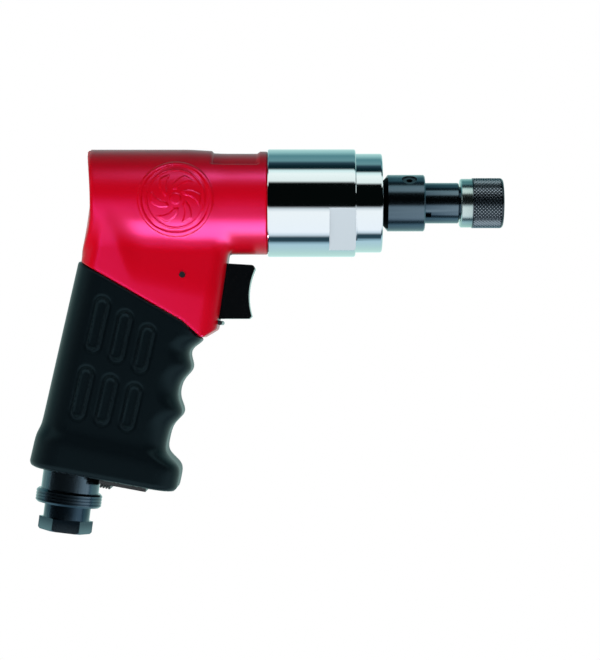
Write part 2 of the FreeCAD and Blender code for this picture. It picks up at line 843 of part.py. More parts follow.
def knurled_ring():
    return turned([
        (band_x1, sleeve_pocket_r + 0.45),
        (band_x1, knurl_r - 0.3),
        (band_x1 + 0.3, knurl_r),
        (sleeve_x1 - 1.2, knurl_r),
        (sleeve_x1, knurl_r - 1.0),
        (sleeve_x1, sleeve_pocket_r),
        (sleeve_x1 - 0.8, sleeve_pocket_r),
        (sleeve_x1 - 0.8, sleeve_pocket_r + 0.45),
    ])


def inlet_body():
    """Threaded bushing in the handle with the plain cylinder seen under the grip."""
    shape = base_rod(inlet_r, -inlet_shoulder, collar_t0)
    shape = shape.fuse([base_rod(inlet_thread_r, -inlet_in_depth, -inlet_shoulder),
                        base_rod(inlet_r - 1.0, collar_t0, collar_t1 - 0.4)]).removeSplitter()
    cuts = [
        base_rod(5.0, -inlet_in_depth - 1, collar_t1),
        base_rod(7.5 + run_gap, 1.0, collar_t1 + 1),
    ]
    return on_base(shape.cut(cuts))


def inlet_collar():
    shape = base_rod(collar_r, collar_t0, collar_t1)
    shape = shape.makeChamfer(0.8, [e for e in shape.Edges if len(e.Vertexes) == 1])
    shape = shape.cut([base_rod(inlet_r - 1.0, collar_t0 - 1, collar_t1 - 0.4),
                       base_rod(8.2, collar_t0 - 1, collar_t1 + 1)])
    for i in range(3):
        t = collar_t0 + 1.5 + 1.25 * i
        groove = base_rod(collar_r + 1, t, t + 0.5).cut(base_rod(collar_r - 0.45, t - 1, t + 2))
        shape = shape.cut(groove)
    return on_base(shape)


def inlet_nipple():
    """Swivelling stub with a hexagon and a tapped bore for the hose fitting."""
    corners = []
    reach = hex_inlet_flat / math.sqrt(3)
    for i in range(6):
        a = math.radians(60 * i + hex_turn_deg)
        corners.append(V(reach * math.cos(a), reach * math.sin(a), -hex_t0))
    hexagon = prism(Part.makePolygon(corners + [corners[0]]), hex_t1 - hex_t0)
    cone = Part.makeCone(reach + 3.0, reach - 0.7, 3.7, V(0, 0, -hex_t1 + 3.7), V(0, 0, -1))
    core = base_rod(reach + 1, hex_t0 - 1, hex_t1 - 3.7)
    hexagon = hexagon.common(cone.fuse(core))
    shape = hexagon.fuse([base_rod(neck_r, collar_t1 + 0.15, hex_t0), base_rod(7.5, 2.0, collar_t1 + 0.15)])
    shape = shape.removeSplitter()
    cuts = [
        base_rod(inlet_bore_r, hex_t1 - inlet_bore_len, hex_t1 + 1),
        base_rod(4.2, 0.0, hex_t1),
        base_rod(9.0, 6.0, 7.6).cut(base_rod(6.4, 5.0, 9.0)),
    ]
    return on_base(shape.cut(cuts))


def inlet_o_ring():
    """Seal in the groove of the swivelling stub."""
    return on_base(Part.makeTorus(6.95, 0.5, V(0, 0, -6.8), V(0, 0, 1)))


def inlet_screen():
    cup = base_rod(4.9, -inlet_in_depth + 1.0, -inlet_in_depth + 9.0)
    return on_base(cup.cut(base_rod(4.4, -inlet_in_depth + 1.6, -inlet_in_depth + 10.0)))


def silencer():
    """Porous block in the exhaust chamber of the handle."""
    block = on_handle(prism(rounded_wire(92.0, 3.4, 19.4, 13.2, 3.8, 3.8), 50.0))
    return block.cut(on_bottom(Part.makeBox(200, 80, 60, V(-100, -40, -60 + 2.4))))


def exhaust_plate():
    """Slotted plate that closes the exhaust chamber under the handle."""
    plate = Part.makeBox(plate_x1 - plate_x0, 2 * plate_half, plate_t, V(plate_x0, -plate_half, -plate_t))
    shapes = [Part.makeBox(plug_len, 2 * plug_half, 2.4, V(plug_x0, -plug_half, 0))]
    for i in range(4):
        x = plate_x0 + 0.4 + 1.2 * i
        shapes.append(Part.makeBox(0.7, 24.0, 1.8, V(x, -12.0, -plate_t - 1.8)))
    plate = plate.fuse(shapes).removeSplitter()
    slots = []
    for i in range(slot_count):
        x = plate_x0 + 5.6 + slot_pitch * i
        slots.append(Part.makeBox(1.4, 2 * plug_half, 8.0, V(x, -plug_half, -4.0)))
    return on_bottom(plate.cut(slots))


def pin_across(x, z, radius, half):
    return Part.makeCylinder(radius, 2 * half, V(x, -half, z), V(0, 1, 0))


def trigger_bushing():
    shape = ring(bushing_r, stem_r + run_gap, bushing_x0, pocket_end_x, 0, trigger_z)
    return shape.cut(pin_across(roll_pin_x, roll_pin_z, roll_pin_r, 30.0))


pieces = {
    "housing": housing,
    "grip": grip,
    "gear_case": gear_case,
    "ring_gear": ring_gear,
    "motor_cylinder": motor_cylinder,
    "motor_front_plate": lambda: motor_plate(front_plate_x0, front_plate_x1,
                                             front_plate_x0 + 1.0, front_plate_x1 + 1),
    "motor_rear_plate": lambda: motor_plate(rear_plate_x0, rear_plate_x1,
                                            rear_plate_x0 - 1, rear_plate_x1 - 1.0),
    "motor_front_bearing": lambda: bearing(front_plate_x0 + 1.0, front_plate_x1 - 0.5,
                                           journal_r + run_gap, motor_bearing_r),
    "motor_rear_bearing": lambda: bearing(rear_plate_x0 + 0.5, rear_plate_x1 - 1.0,
                                          journal_r + run_gap, motor_bearing_r),
    "alignment_pin": lambda: alignment_rod(0.0),
    "rear_gasket": lambda: ring(motor_r - 0.5, 11.0, bore_rear_x, rear_plate_x0),
    "spindle_rear_bearing": lambda: bearing(rear_bearing_x0, rear_bearing_x1,
                                            shaft_r + run_gap, rear_bearing_r),
    "spindle_front_bearing": lambda: bearing(front_bearing_x0, front_bearing_x1,
                                             shaft_r + run_gap, front_bearing_r),
    "nose_snap_ring": lambda: ring(front_bearing_r + 0.85, 10.4, -4.75, -3.65),
    "spindle_seal": lambda: ring(front_bearing_r, shaft_r + run_gap, -3.2, -0.6),
    "trigger_bushing": trigger_bushing,
    "trigger_roll_pin": lambda: pin_across(roll_pin_x, roll_pin_z, roll_pin_r, 18.9),
    "trigger_guide_pin": lambda: pin_across(guide_pin_x, guide_pin_z, guide_pin_r, 15.0),
    "valve_seat": lambda: ring(valve_bore_r - seat_gap, 4.0, seat_x0, seat_x1, 0, trigger_z),
    "inlet_body": inlet_body,
    "inlet_collar": inlet_collar,
    "inlet_nipple": inlet_nipple,
    "inlet_o_ring": inlet_o_ring,
    "inlet_screen": inlet_screen,
    "silencer": silencer,
    "exhaust_plate": exhaust_plate,
    "rotor": rotor,
    "vanes": vanes,
    "spindle": spindle,
    "planet_pins": planet_pins,
    "planet_gear_1": lambda: planet_gear(0),
    "planet_gear_2": lambda: planet_gear(1),
    "planet_gear_3": lambda: planet_gear(2),
    "adapter": adapter,
    "set_screw": set_screw,
    "chuck_body": chuck_body,
    "chuck_balls": chuck_balls,
    "sleeve_stop_ring": lambda: ring(stop_ring_r, stop_groove_r, stop_ring_x0, stop_ring_x1),
    "chuck_sleeve": chuck_sleeve,
    "knurled_ring": knurled_ring,
    "sleeve_spring": lambda: coil(sleeve_web_x, stop_ring_x0, sleeve_spring_r, 0.45,
                                  sleeve_spring_turns),
    "trigger": trigger,
    "valve_stem": valve_stem,
    "valve_seal": valve_seal,
    "valve_spring": lambda: coil(valve_bore_end, poppet_x0, 4.2, 0.45, 4.0, 0, trigger_z),
}

for name, make in pieces.items():
    shape = make()
    solids = len(shape.Solids)
    bounds = shape.BoundBox
    print("%-22s solids %d valid %s vol %9.1f  X %7.1f %7.1f Y %6.1f %6.1f Z %7.1f %7.1f" % (
        name, solids, shape.isValid(), shape.Volume, bounds.XMin, bounds.XMax,
        bounds.YMin, bounds.YMax, bounds.ZMin, bounds.ZMax))
    shape.exportStep("parts/" + name + ".step")
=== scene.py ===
# %% [markdown]
# # Pistol-grip pneumatic driver
# The CAD model gives every piece its place, size and motion. This notebook dresses it: smooth
# painted housing, rubber grip, polished gear case, knurled sleeve, and the studio around them.
# Lengths are in millimetres until they become mesh coordinates, and the frame is the CAD one:
# +X along the spindle toward the bit, +Z up, the photographed side facing -Y.

# %% Load the frame
import bpy
import bmesh
import json
import math
import numpy as np
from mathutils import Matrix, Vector


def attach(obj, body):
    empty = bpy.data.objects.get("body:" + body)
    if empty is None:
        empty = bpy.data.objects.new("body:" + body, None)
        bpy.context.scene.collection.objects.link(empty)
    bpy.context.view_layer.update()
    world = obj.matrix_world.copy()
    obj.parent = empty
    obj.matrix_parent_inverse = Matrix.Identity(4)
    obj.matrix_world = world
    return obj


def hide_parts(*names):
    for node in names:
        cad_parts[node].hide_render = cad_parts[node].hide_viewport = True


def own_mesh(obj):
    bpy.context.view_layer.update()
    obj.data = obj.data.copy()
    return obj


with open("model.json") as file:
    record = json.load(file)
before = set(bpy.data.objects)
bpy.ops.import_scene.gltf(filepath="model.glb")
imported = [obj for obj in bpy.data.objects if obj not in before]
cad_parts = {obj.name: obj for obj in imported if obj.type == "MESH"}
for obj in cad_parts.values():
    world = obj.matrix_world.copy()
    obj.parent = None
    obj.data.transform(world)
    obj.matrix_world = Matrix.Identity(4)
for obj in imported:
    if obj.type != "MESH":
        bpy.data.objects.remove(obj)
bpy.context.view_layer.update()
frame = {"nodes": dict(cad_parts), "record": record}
nodes = frame["nodes"]
MM = 0.001

# %% [markdown]
# ## Shared shader groups
# Two small node groups are used by many materials. `Fine grain` turns a noise into a bump and a
# little change of roughness. `Worn edge` lightens a colour where the surface bends sharply.

# %% Shader groups
def math_node(group, operation, a, b=None):
    node = group.nodes.new("ShaderNodeMath")
    node.operation = operation
    for slot_index, value in enumerate((a, b)):
        if value is None:
            continue
        if isinstance(value, (int, float)):
            node.inputs[slot_index].default_value = value
        else:
            group.links.new(value, node.inputs[slot_index])
    return node.outputs[0]


def new_group(name, sockets):
    group = bpy.data.node_groups.new(name, "ShaderNodeTree")
    for label, way, kind, value in sockets:
        socket = group.interface.new_socket(name=label, in_out=way, socket_type=kind)
        if value is not None:
            socket.default_value = value
    return group, group.nodes.new("NodeGroupInput"), group.nodes.new("NodeGroupOutput")


def fine_grain_group():
    group, gin, gout = new_group("Fine grain", [
        ("Scale", "INPUT", "NodeSocketFloat", 2000.0),
        ("Height", "INPUT", "NodeSocketFloat", 0.05),
        ("Roughness", "INPUT", "NodeSocketFloat", 0.4),
        ("Spread", "INPUT", "NodeSocketFloat", 0.05),
        ("Stretch", "INPUT", "NodeSocketVector", (1.0, 1.0, 1.0)),
        ("Roughness", "OUTPUT", "NodeSocketFloat", None),
        ("Normal", "OUTPUT", "NodeSocketVector", None),
    ])
    n, link = group.nodes.new, group.links.new
    coord = n("ShaderNodeTexCoord")
    scaled = n("ShaderNodeVectorMath")
    scaled.operation = "MULTIPLY"
    noise = n("ShaderNodeTexNoise")
    noise.inputs["Detail"].default_value = 3.0
    bump = n("ShaderNodeBump")
    bump.inputs["Distance"].default_value = 0.0002
    spread = n("ShaderNodeMath")
    spread.operation = "MULTIPLY_ADD"
    centre = n("ShaderNodeMath")
    centre.operation = "SUBTRACT"
    centre.inputs[1].default_value = 0.5
    link(coord.outputs["Object"], scaled.inputs[0])
    link(gin.outputs["Stretch"], scaled.inputs[1])
    link(scaled.outputs[0], noise.inputs["Vector"])
    link(gin.outputs["Scale"], noise.inputs["Scale"])
    link(noise.outputs["Fac"], centre.inputs[0])
    link(centre.outputs[0], spread.inputs[0])
    link(gin.outputs["Spread"], spread.inputs[1])
    link(gin.outputs["Roughness"], spread.inputs[2])
    link(noise.outputs["Fac"], bump.inputs["Height"])
    link(gin.outputs["Height"], bump.inputs["Strength"])
    link(spread.outputs[0], gout.inputs["Roughness"])
    link(bump.outputs[0], gout.inputs["Normal"])
    return group


def worn_edge_group():
    group, gin, gout = new_group("Worn edge", [
        ("Base", "INPUT", "NodeSocketColor", (0.1, 0.1, 0.1, 1.0)),
        ("Edge", "INPUT", "NodeSocketColor", (0.5, 0.5, 0.5, 1.0)),
        ("Amount", "INPUT", "NodeSocketFloat", 0.4),
        ("Color", "OUTPUT", "NodeSocketColor", None),
    ])
    n, link = group.nodes.new, group.links.new
    geometry = n("ShaderNodeNewGeometry")
    ramp = n("ShaderNodeMapRange")
    ramp.inputs["From Min"].default_value = 0.52
    ramp.inputs["From Max"].default_value = 0.62
    strength = n("ShaderNodeMath")
    strength.operation = "MULTIPLY"
    mix = n("ShaderNodeMix")
    mix.data_type = "RGBA"
    link(geometry.outputs["Pointiness"], ramp.inputs["Value"])
    link(ramp.outputs["Result"], strength.inputs[0])
    link(gin.outputs["Amount"], strength.inputs[1])
    link(strength.outputs[0], mix.inputs["Factor"])
    link(gin.outputs["Base"], mix.inputs["A"])
    link(gin.outputs["Edge"], mix.inputs["B"])
    link(mix.outputs["Result"], gout.inputs["Color"])
    return group


FINE_GRAIN = fine_grain_group()
WORN_EDGE = worn_edge_group()
print("shader groups:", FINE_GRAIN.name, "and", WORN_EDGE.name)

# %% [markdown]
# ## Materials
# One function builds every finish from the same sockets. Grain sizes are in waves per metre, so
# 3000 is about a third of a millimetre. `stretch` draws the grain out along the turned direction.

# %% Material maker
def finish(name, color, metallic=0.0, rough=0.4, spread=0.05, grain=2500.0, height=0.05,
           stretch=(1, 1, 1), edge=None, wear=0.0, coat=0.0, coat_rough=0.05, tint=(1, 1, 1),
           specular=0.5, ior=1.5):
    mat = bpy.data.materials.new(name)
    mat.use_nodes = True
    tree = mat.node_tree
    shader = tree.nodes["Principled BSDF"]
    shader.inputs["Base Color"].default_value = (*color, 1.0)
    shader.inputs["Metallic"].default_value = metallic
    shader.inputs["Specular Tint"].default_value = (*tint, 1.0)
    shader.inputs["Specular IOR Level"].default_value = specular
    shader.inputs["IOR"].default_value = ior
    shader.inputs["Coat Weight"].default_value = coat
    shader.inputs["Coat Roughness"].default_value = coat_rough
    grain_node = tree.nodes.new("ShaderNodeGroup")
    grain_node.node_tree = FINE_GRAIN
    grain_node.inputs["Scale"].default_value = grain
    grain_node.inputs["Height"].default_value = height
    grain_node.inputs["Roughness"].default_value = rough
    grain_node.inputs["Spread"].default_value = spread
    grain_node.inputs["Stretch"].default_value = stretch
    tree.links.new(grain_node.outputs["Roughness"], shader.inputs["Roughness"])
    tree.links.new(grain_node.outputs["Normal"], shader.inputs["Normal"])
    if edge:
        worn = tree.nodes.new("ShaderNodeGroup")
        worn.node_tree = WORN_EDGE
        worn.inputs["Base"].default_value = (*color, 1.0)
        worn.inputs["Edge"].default_value = (*edge, 1.0)
        worn.inputs["Amount"].default_value = wear
        tree.links.new(worn.outputs["Color"], shader.inputs["Base Color"])
    return mat


# %% The finishes, named after the record's slots
FINISHES = {
    "housing_paint": finish("Red housing paint", (0.49, 0.0006, 0.006), 0.0, 0.32, 0.02, 900, 0.01,
                            specular=0.30, tint=(0.8, 0.09, 0.45)),
    "grip_rubber": finish("Grip rubber", (0.0010, 0.0018, 0.0026), 0.0, 0.38, 0.08, 2600, 0.20,
                          specular=0.16, tint=(0.50, 0.90, 1.0)),
    "polished_steel": finish("Polished gear case", (0.57, 0.58, 0.58), 1.0, 0.06, 0.02, 1500, 0.0,
                             (1, 14, 14)),
    "gear_steel": finish("Gear steel", (0.42, 0.42, 0.43), 1.0, 0.30, 0.1, 2500, 0.05,
                         edge=(0.7, 0.7, 0.7), wear=0.4),
    "motor_iron": finish("Motor iron", (0.30, 0.30, 0.31), 1.0, 0.42, 0.1, 2500, 0.08),
    "bearing_steel": finish("Bearing steel", (0.62, 0.62, 0.64), 1.0, 0.16, 0.05, 2500, 0.02),
    "seal_rubber": finish("Seal rubber", (0.012, 0.012, 0.012), 0.0, 0.6, 0.1, 3000, 0.1),
    "spring_steel": finish("Spring steel", (0.10, 0.10, 0.11), 1.0, 0.33, 0.1, 3000, 0.05),
    "brass_bush": finish("Brass", (0.72, 0.50, 0.20), 1.0, 0.28, 0.08, 3000, 0.04),
    "blued_steel": finish("Blued steel", (0.026, 0.046, 0.064), 1.0, 0.19, 0.08, 2200, 0.04,
                          (1, 6, 6), edge=(0.30, 0.38, 0.42), wear=0.30),
    "screen_brass": finish("Brass screen", (0.60, 0.46, 0.22), 1.0, 0.4, 0.1, 6000, 0.3),
    "silencer_felt": finish("Silencer felt", (0.36, 0.34, 0.30), 0.0, 0.9, 0.1, 2500, 0.9),
    "black_plastic": finish("Black plastic", (0.014, 0.015, 0.016), 0.0, 0.45, 0.1, 3000, 0.15),
    "vane_composite": finish("Vane composite", (0.24, 0.15, 0.08), 0.0, 0.55, 0.1, 1500, 0.1,
                             (1, 8, 8)),
    "sleeve_steel": finish("Sleeve steel", (0.30, 0.36, 0.34), 1.0, 0.19, 0.08, 2500, 0.05,
                           (1, 10, 10), edge=(0.6, 0.65, 0.62), wear=0.4),
    "knurl_steel": finish("Black knurl", (0.007, 0.009, 0.012), 1.0, 0.20, 0.08, 3000, 0.04,
                          edge=(0.26, 0.30, 0.33), wear=0.6),
    "trigger_plastic": finish("Trigger plastic", (0.0010, 0.0014, 0.0018), 0.0, 0.20, 0.05, 2000, 0.02,
                              specular=0.35),
}
SLOT_OF = {s["node"]: s["material_slot"] for s in frame["record"]["subparts"]}


def grind_flats(mat, reach, turn_deg, x0, x1, rough):
    """Raises the roughness on two parallel flats of a turned part along X."""
    tree = mat.node_tree
    shader = tree.nodes["Principled BSDF"]
    fine = shader.inputs["Roughness"].links[0].from_socket
    split = tree.nodes.new("ShaderNodeSeparateXYZ")
    tree.links.new(tree.nodes.new("ShaderNodeTexCoord").outputs["Object"], split.inputs[0])
    a = math.radians(turn_deg)
    across = math_node(tree, "MULTIPLY", split.outputs["Y"], math.cos(a))
    out = math_node(tree, "MULTIPLY_ADD", split.outputs["Z"], math.sin(a))
    tree.links.new(across, out.node.inputs[2])
    off = math_node(tree, "SUBTRACT", math_node(tree, "ABSOLUTE", out), reach * MM)
    level = math_node(tree, "LESS_THAN", math_node(tree, "ABSOLUTE", off), 0.03 * MM)
    after = math_node(tree, "GREATER_THAN", split.outputs["X"], x0 * MM)
    before = math_node(tree, "LESS_THAN", split.outputs["X"], x1 * MM)
    mask = math_node(tree, "MULTIPLY", math_node(tree, "MULTIPLY", after, before), level)
    blend = tree.nodes.new("ShaderNodeMix")
    tree.links.new(mask, blend.inputs[0])
    tree.links.new(fine, blend.inputs[2])
    blend.inputs[3].default_value = rough
    tree.links.new(blend.outputs[0], shader.inputs["Roughness"])


def shine_tips(mat, foot, tip, x0, x1, color):
    """Shows bright metal towards the tips of a knurl, which rises from foot to tip."""
    tree = mat.node_tree
    shader = tree.nodes["Principled BSDF"]
    below = shader.inputs["Base Color"].links[0].from_socket
    split = tree.nodes.new("ShaderNodeSeparateXYZ")
    tree.links.new(tree.nodes.new("ShaderNodeTexCoord").outputs["Object"], split.inputs[0])
    square = math_node(tree, "MULTIPLY", split.outputs["Y"], split.outputs["Y"])
    both = math_node(tree, "ADD", square,
                     math_node(tree, "MULTIPLY", split.outputs["Z"], split.outputs["Z"]))
    rise = math_node(tree, "SUBTRACT", math_node(tree, "SQRT", both), foot * MM)
    share = math_node(tree, "DIVIDE", rise, (tip - foot) * MM)
    share.node.use_clamp = True
    after = math_node(tree, "GREATER_THAN", split.outputs["X"], x0 * MM)
    before = math_node(tree, "LESS_THAN", split.outputs["X"], x1 * MM)
    mask = math_node(tree, "MULTIPLY", math_node(tree, "MULTIPLY", after, before), share)
    blend = tree.nodes.new("ShaderNodeMix")
    blend.data_type = "RGBA"
    tree.links.new(mask, blend.inputs[0])
    tree.links.new(below, blend.inputs[6])
    blend.inputs[7].default_value = (*color, 1.0)
    tree.links.new(blend.outputs[2], shader.inputs["Base Color"])


grind_flats(FINISHES["polished_steel"], 20.0, 35.7, -22.3, -11.0, 0.36)
shine_tips(FINISHES["knurl_steel"], 10.42, 10.49, 38.3, 49.6, (0.26, 0.28, 0.30))
print(len(FINISHES), "finishes for", len(set(SLOT_OF.values())), "slots")

# %% [markdown]
# ## CAD pieces
# Every CAD piece gets its finish and smooth shading that breaks at real edges. Outer metal pieces
# get a hairline bevel so their edges catch the light.

# %% Dress the CAD pieces
def shade(obj, angle=32.0):
    obj.data.shade_smooth()
    obj.data.set_sharp_from_angle(angle=math.radians(angle))


def hairline(obj, width, segments=2):
    bevel = obj.modifiers.new("Hairline bevel", "BEVEL")
    bevel.width = width * MM
    bevel.segments = segments
    bevel.limit_method = "ANGLE"
    bevel.angle_limit = math.radians(40)
    bevel.harden_normals = True


BEVELS = {"adapter": 0.12, "chuck_body": 0.10, "trigger": 0.5, "exhaust_plate": 0.15,
          "sleeve_stop_ring": 0.06, "inlet_nipple": 0.12}
for name, obj in nodes.items():
    obj.data.materials.clear()
    obj.data.materials.append(FINISHES[SLOT_OF[name]])
    shade(obj)
    if name in BEVELS:
        hairline(obj, BEVELS[name])
print("dressed", len(nodes), "pieces;", len(BEVELS), "with a hairline bevel")

# %% [markdown]
# ## Helpers for the finer pieces
# `new_piece` makes a mesh that stands for a CAD node and rides its body. `revolve` spins a profile
# about the spindle axis.

# %% Piece helpers
def new_piece(name, verts, faces, slot, node=None, body="tool", angle=32.0):
    mesh = bpy.data.meshes.new(name)
    mesh.from_pydata([tuple(v) for v in np.asarray(verts) * MM], [], faces)
    mesh.update()
    obj = bpy.data.objects.new(name, mesh)
    bpy.context.scene.collection.objects.link(obj)
    bm = bmesh.new()
    bm.from_mesh(mesh)
    bmesh.ops.recalc_face_normals(bm, faces=bm.faces)
    bm.to_mesh(mesh)
    bm.free()
    mesh.materials.append(FINISHES[slot])
    shade(obj, angle)
    if node:
        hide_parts(node)
    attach(obj, body)
    return obj


def ring_faces(rows, columns, closed_rows=False):
    """Quads of a grid whose columns wrap round."""
    faces = []
    for r in range(rows if closed_rows else rows - 1):
        a, b = r * columns, ((r + 1) % rows) * columns
        for c in range(columns):
            d = (c + 1) % columns
            faces.append((a + c, a + d, b + d, b + c))
    return faces


def revolve(profile, steps=192):
    """Closed ring of revolution from a closed profile of (x, r)."""
    turn = np.linspace(0, 2 * np.pi, steps, endpoint=False)
    verts = [(x, r * math.cos(a), r * math.sin(a)) for x, r in profile for a in turn]
    return verts, ring_faces(len(profile), steps, True)


def smoothstep(lo, hi, v):
    t = np.clip((v - lo) / (hi - lo), 0, 1)
    return t * t * (3 - 2 * t)


print("helpers ready")

# %% [markdown]
# ## Painted housing
# The housing is a cast body: a barrel that waists toward the gear case and runs into the handle
# with soft fillets. Its outside is written as a distance function. A coarse closed mesh is remeshed
# evenly, then every vertex is slid onto the zero of that function, which gives clean highlights.

# %% Handle coordinates
HANDLE_X, TILT = -93.1, math.radians(12.8)
HC, HS = math.cos(TILT), math.sin(TILT)


def to_handle(x, z):
    """Across the handle (w) and down its axis (s)."""
    dx = x - HANDLE_X
    return dx * HC - z * HS, -(dx * HS + z * HC)


def from_handle(w, s):
    return HANDLE_X + w * HC - s * HS, -w * HS - s * HC


def soft_min(a, b, k):
    h = np.clip(0.5 + 0.5 * (b - a) / k, 0, 1)
    return b + (a - b) * h - k * h * (1 - h)


def soft_max(a, b, k):
    return -soft_min(-a, -b, k)


def parting(w):
    """How far down the handle the paint ends, at each place across it."""
    return np.interp(w, [-40, 20.8, 30.4, 36.0], [26.95, 45.8, 51.1, 46.0])


# %% Distance functions of the housing
EMBLEM = (-85.3, 0.6)


def emblem_relief(x, z):
    """A raised ring round a rosette of six curved blades."""
    dx, dz = x - EMBLEM[0], z - EMBLEM[1]
    r = np.hypot(dx, dz)
    ring = smoothstep(13.6, 14.1, r) * (1 - smoothstep(15.2, 15.7, r))
    fine = smoothstep(11.4, 11.7, r) * (1 - smoothstep(12.1, 12.4, r))
    swirl = np.cos(6 * (np.arctan2(dz, dx) + 0.11 * r))
    blades = smoothstep(0.05, 0.35, swirl) * smoothstep(3.6, 4.3, r) * (1 - smoothstep(9.9, 10.5, r))
    hub = 1 - smoothstep(2.0, 2.5, r)
    return 0.42 * np.maximum(np.maximum(ring, 0.6 * fine), np.maximum(0.8 * blades, 0.8 * hub))


def barrel_distance(x, y, z):
    radius = 22.4 - 0.8 * smoothstep(-83, -64, x)
    scoop = smoothstep(-71.2, -70.4, x) * (1 - smoothstep(-51.6, -50.9, x))
    lean = np.arctan2(np.abs(y), z)
    scoop = scoop * (1 - smoothstep(math.radians(43.5), math.radians(46.0), lean))
    side = np.hypot(y, z) - radius + 0.9 * scoop
    rear = (-120.5 - np.minimum((z + 2) ** 2 / 218.0, 3.0)) - x
    return soft_max(soft_max(side, rear, 1.6), x + 47.72, 0.8)


def handle_distance(x, y, z):
    w, s = to_handle(x, z)
    low = np.clip(s / 52.0, -0.2, 1.2)
    ahead = smoothstep(-20.0, 0.0, w)
    half = 19.3 - 4.8 * (1 - smoothstep(-4.0 + 10.0 * ahead, 14.0 + 22.0 * ahead, s))
    front = 32.1 + 4.0 * low
    rear = -25.5
    corner = 7.5
    qx = np.abs(w - (front + rear) / 2) - ((front - rear) / 2 - corner)
    qy = np.abs(y) - (half - corner)
    wall = np.hypot(np.maximum(qx, 0), np.maximum(qy, 0)) + np.minimum(np.maximum(qx, qy), 0) - corner
    cut = (s - parting(w)) * 0.94
    return soft_max(soft_max(wall, cut, 0.9), -s - 2.0, 0.5)


def housing_distance(p, relief=True):
    x, y, z = p[:, 0], p[:, 1], p[:, 2]
    blend = 1.6 + 3.4 * smoothstep(5.0, 13.0, np.abs(y))
    d = soft_min(barrel_distance(x, y, z), handle_distance(x, y, z), blend)
    if relief:
        facing = smoothstep(6.0, 10.0, np.abs(y))
        d = d - emblem_relief(x, z) * facing
    return d


def slide_onto(p, distance, steps=6, limit=0.6):
    """Newton steps that move points onto the zero of a distance function."""
    h = 0.01
    for _ in range(steps):
        d = distance(p)
        grad = np.stack([(distance(p + off) - d) / h for off in np.eye(3) * h], axis=1)
        size = np.maximum((grad ** 2).sum(axis=1), 0.05)
        move = grad * (d / size)[:, None]
        length = np.linalg.norm(move, axis=1)
        p = p - move * np.minimum(1, limit / np.maximum(length, 1e-9))[:, None]
    return p


probe = np.array([[-100.0, 0.0, 22.4], [-100.0, -22.4, 0.0], [-58.0, 0.0, 20.7]])
print("distance at three points of the skin, in mm:", housing_distance(probe, False).round(2))

# %% [markdown]
# The starting mesh is a plain barrel and a plain block joined by an even remesh. The region of the
# emblem is divided once more so that its relief stays crisp.

# %% Even skin mesh
def coarse_hull():
    """Barrel and handle block as one overlapping mesh, a little larger than the skin."""
    steps = 64
    turn = np.linspace(0, 2 * np.pi, steps, endpoint=False)
    verts = [(x, 22.0 * math.cos(a), 22.0 * math.sin(a)) for x in (-120.8, -47.9) for a in turn]
    faces = [(i, (i + 1) % steps, steps + (i + 1) % steps, steps + i) for i in range(steps)]
    faces += [tuple(range(steps))[::-1], tuple(range(steps, 2 * steps))]
    outline = [(-25.3, 0), (33.0, 0), (35.6, 45.8), (30.4, 50.8), (20.8, 45.5), (-25.3, 31.3)]
    base = len(verts)
    for y in (-19.5, 19.5):
        for w, s in outline:
            x, z = from_handle(w, s)
            verts.append((x, y, z))
    n = len(outline)
    faces += [tuple(base + i for i in range(n)), tuple(base + n + i for i in reversed(range(n)))]
    faces += [(base + i, base + n + i, base + n + (i + 1) % n, base + (i + 1) % n) for i in range(n)]
    return verts, faces


def even_skin(verts, faces, voxel):
    mesh = bpy.data.meshes.new("hull")
    mesh.from_pydata([tuple(v) for v in np.array(verts) * MM], [], faces)
    obj = bpy.data.objects.new("hull", mesh)
    bpy.context.scene.collection.objects.link(obj)
    bm = bmesh.new()
    bm.from_mesh(mesh)
    bmesh.ops.recalc_face_normals(bm, faces=bm.faces)
    bm.to_mesh(mesh)
    bm.free()
    remesh = obj.modifiers.new("Even", "REMESH")
    remesh.mode = "VOXEL"
    remesh.voxel_size = voxel * MM
    smooth = obj.modifiers.new("Relax", "SMOOTH")
    smooth.iterations = 8
    graph = bpy.context.evaluated_depsgraph_get()
    even = bpy.data.meshes.new_from_object(obj.evaluated_get(graph))
    bpy.data.objects.remove(obj)
    return even


def refine(mesh, inside, cuts=1):
    bm = bmesh.new()
    bm.from_mesh(mesh)
    chosen = [e for e in bm.edges if all(inside(v.co / MM) for v in e.verts)]
    bmesh.ops.subdivide_edges(bm, edges=chosen, cuts=cuts, use_grid_fill=True)
    bmesh.ops.triangulate(bm, faces=[f for f in bm.faces if len(f.verts) > 4])
    bm.to_mesh(mesh)
    bm.free()


def near_emblem(p):
    return abs(p.y) > 12 and math.hypot(p.x - EMBLEM[0], p.z - EMBLEM[1]) < 17.0


skin = even_skin(*coarse_hull(), 0.75)
refine(skin, near_emblem, 2)
points = np.array([v.co for v in skin.vertices]) / MM
points = slide_onto(points, housing_distance, 10)
skin.vertices.foreach_set("co", (points * MM).ravel())
skin.update()
print("housing skin:", len(skin.polygons), "faces, furthest off by",
      round(float(np.abs(housing_distance(points)).max()), 3), "mm")

# %% [markdown]
# The hollows that show or that moving parts need are cut out of the skin: motor bore, trigger
# pocket, valve bore and the two pin holes. The threaded spigot inside the gear case is joined on.

# %% Hollow the housing
def solid_rod(radius, start, end, steps=96):
    """A closed cylinder between two points."""
    start, end = Vector(start), Vector(end)
    axis = (end - start).normalized()
    side = axis.orthogonal().normalized()
    up = axis.cross(side)
    verts = []
    for centre in (start, end):
        for i in range(steps):
            a = 2 * math.pi * i / steps
            verts.append(centre + radius * (math.cos(a) * side + math.sin(a) * up))
    faces = [(i, (i + 1) % steps, steps + (i + 1) % steps, steps + i) for i in range(steps)]
    faces += [tuple(range(steps))[::-1], tuple(range(steps, 2 * steps))]
    return verts, faces


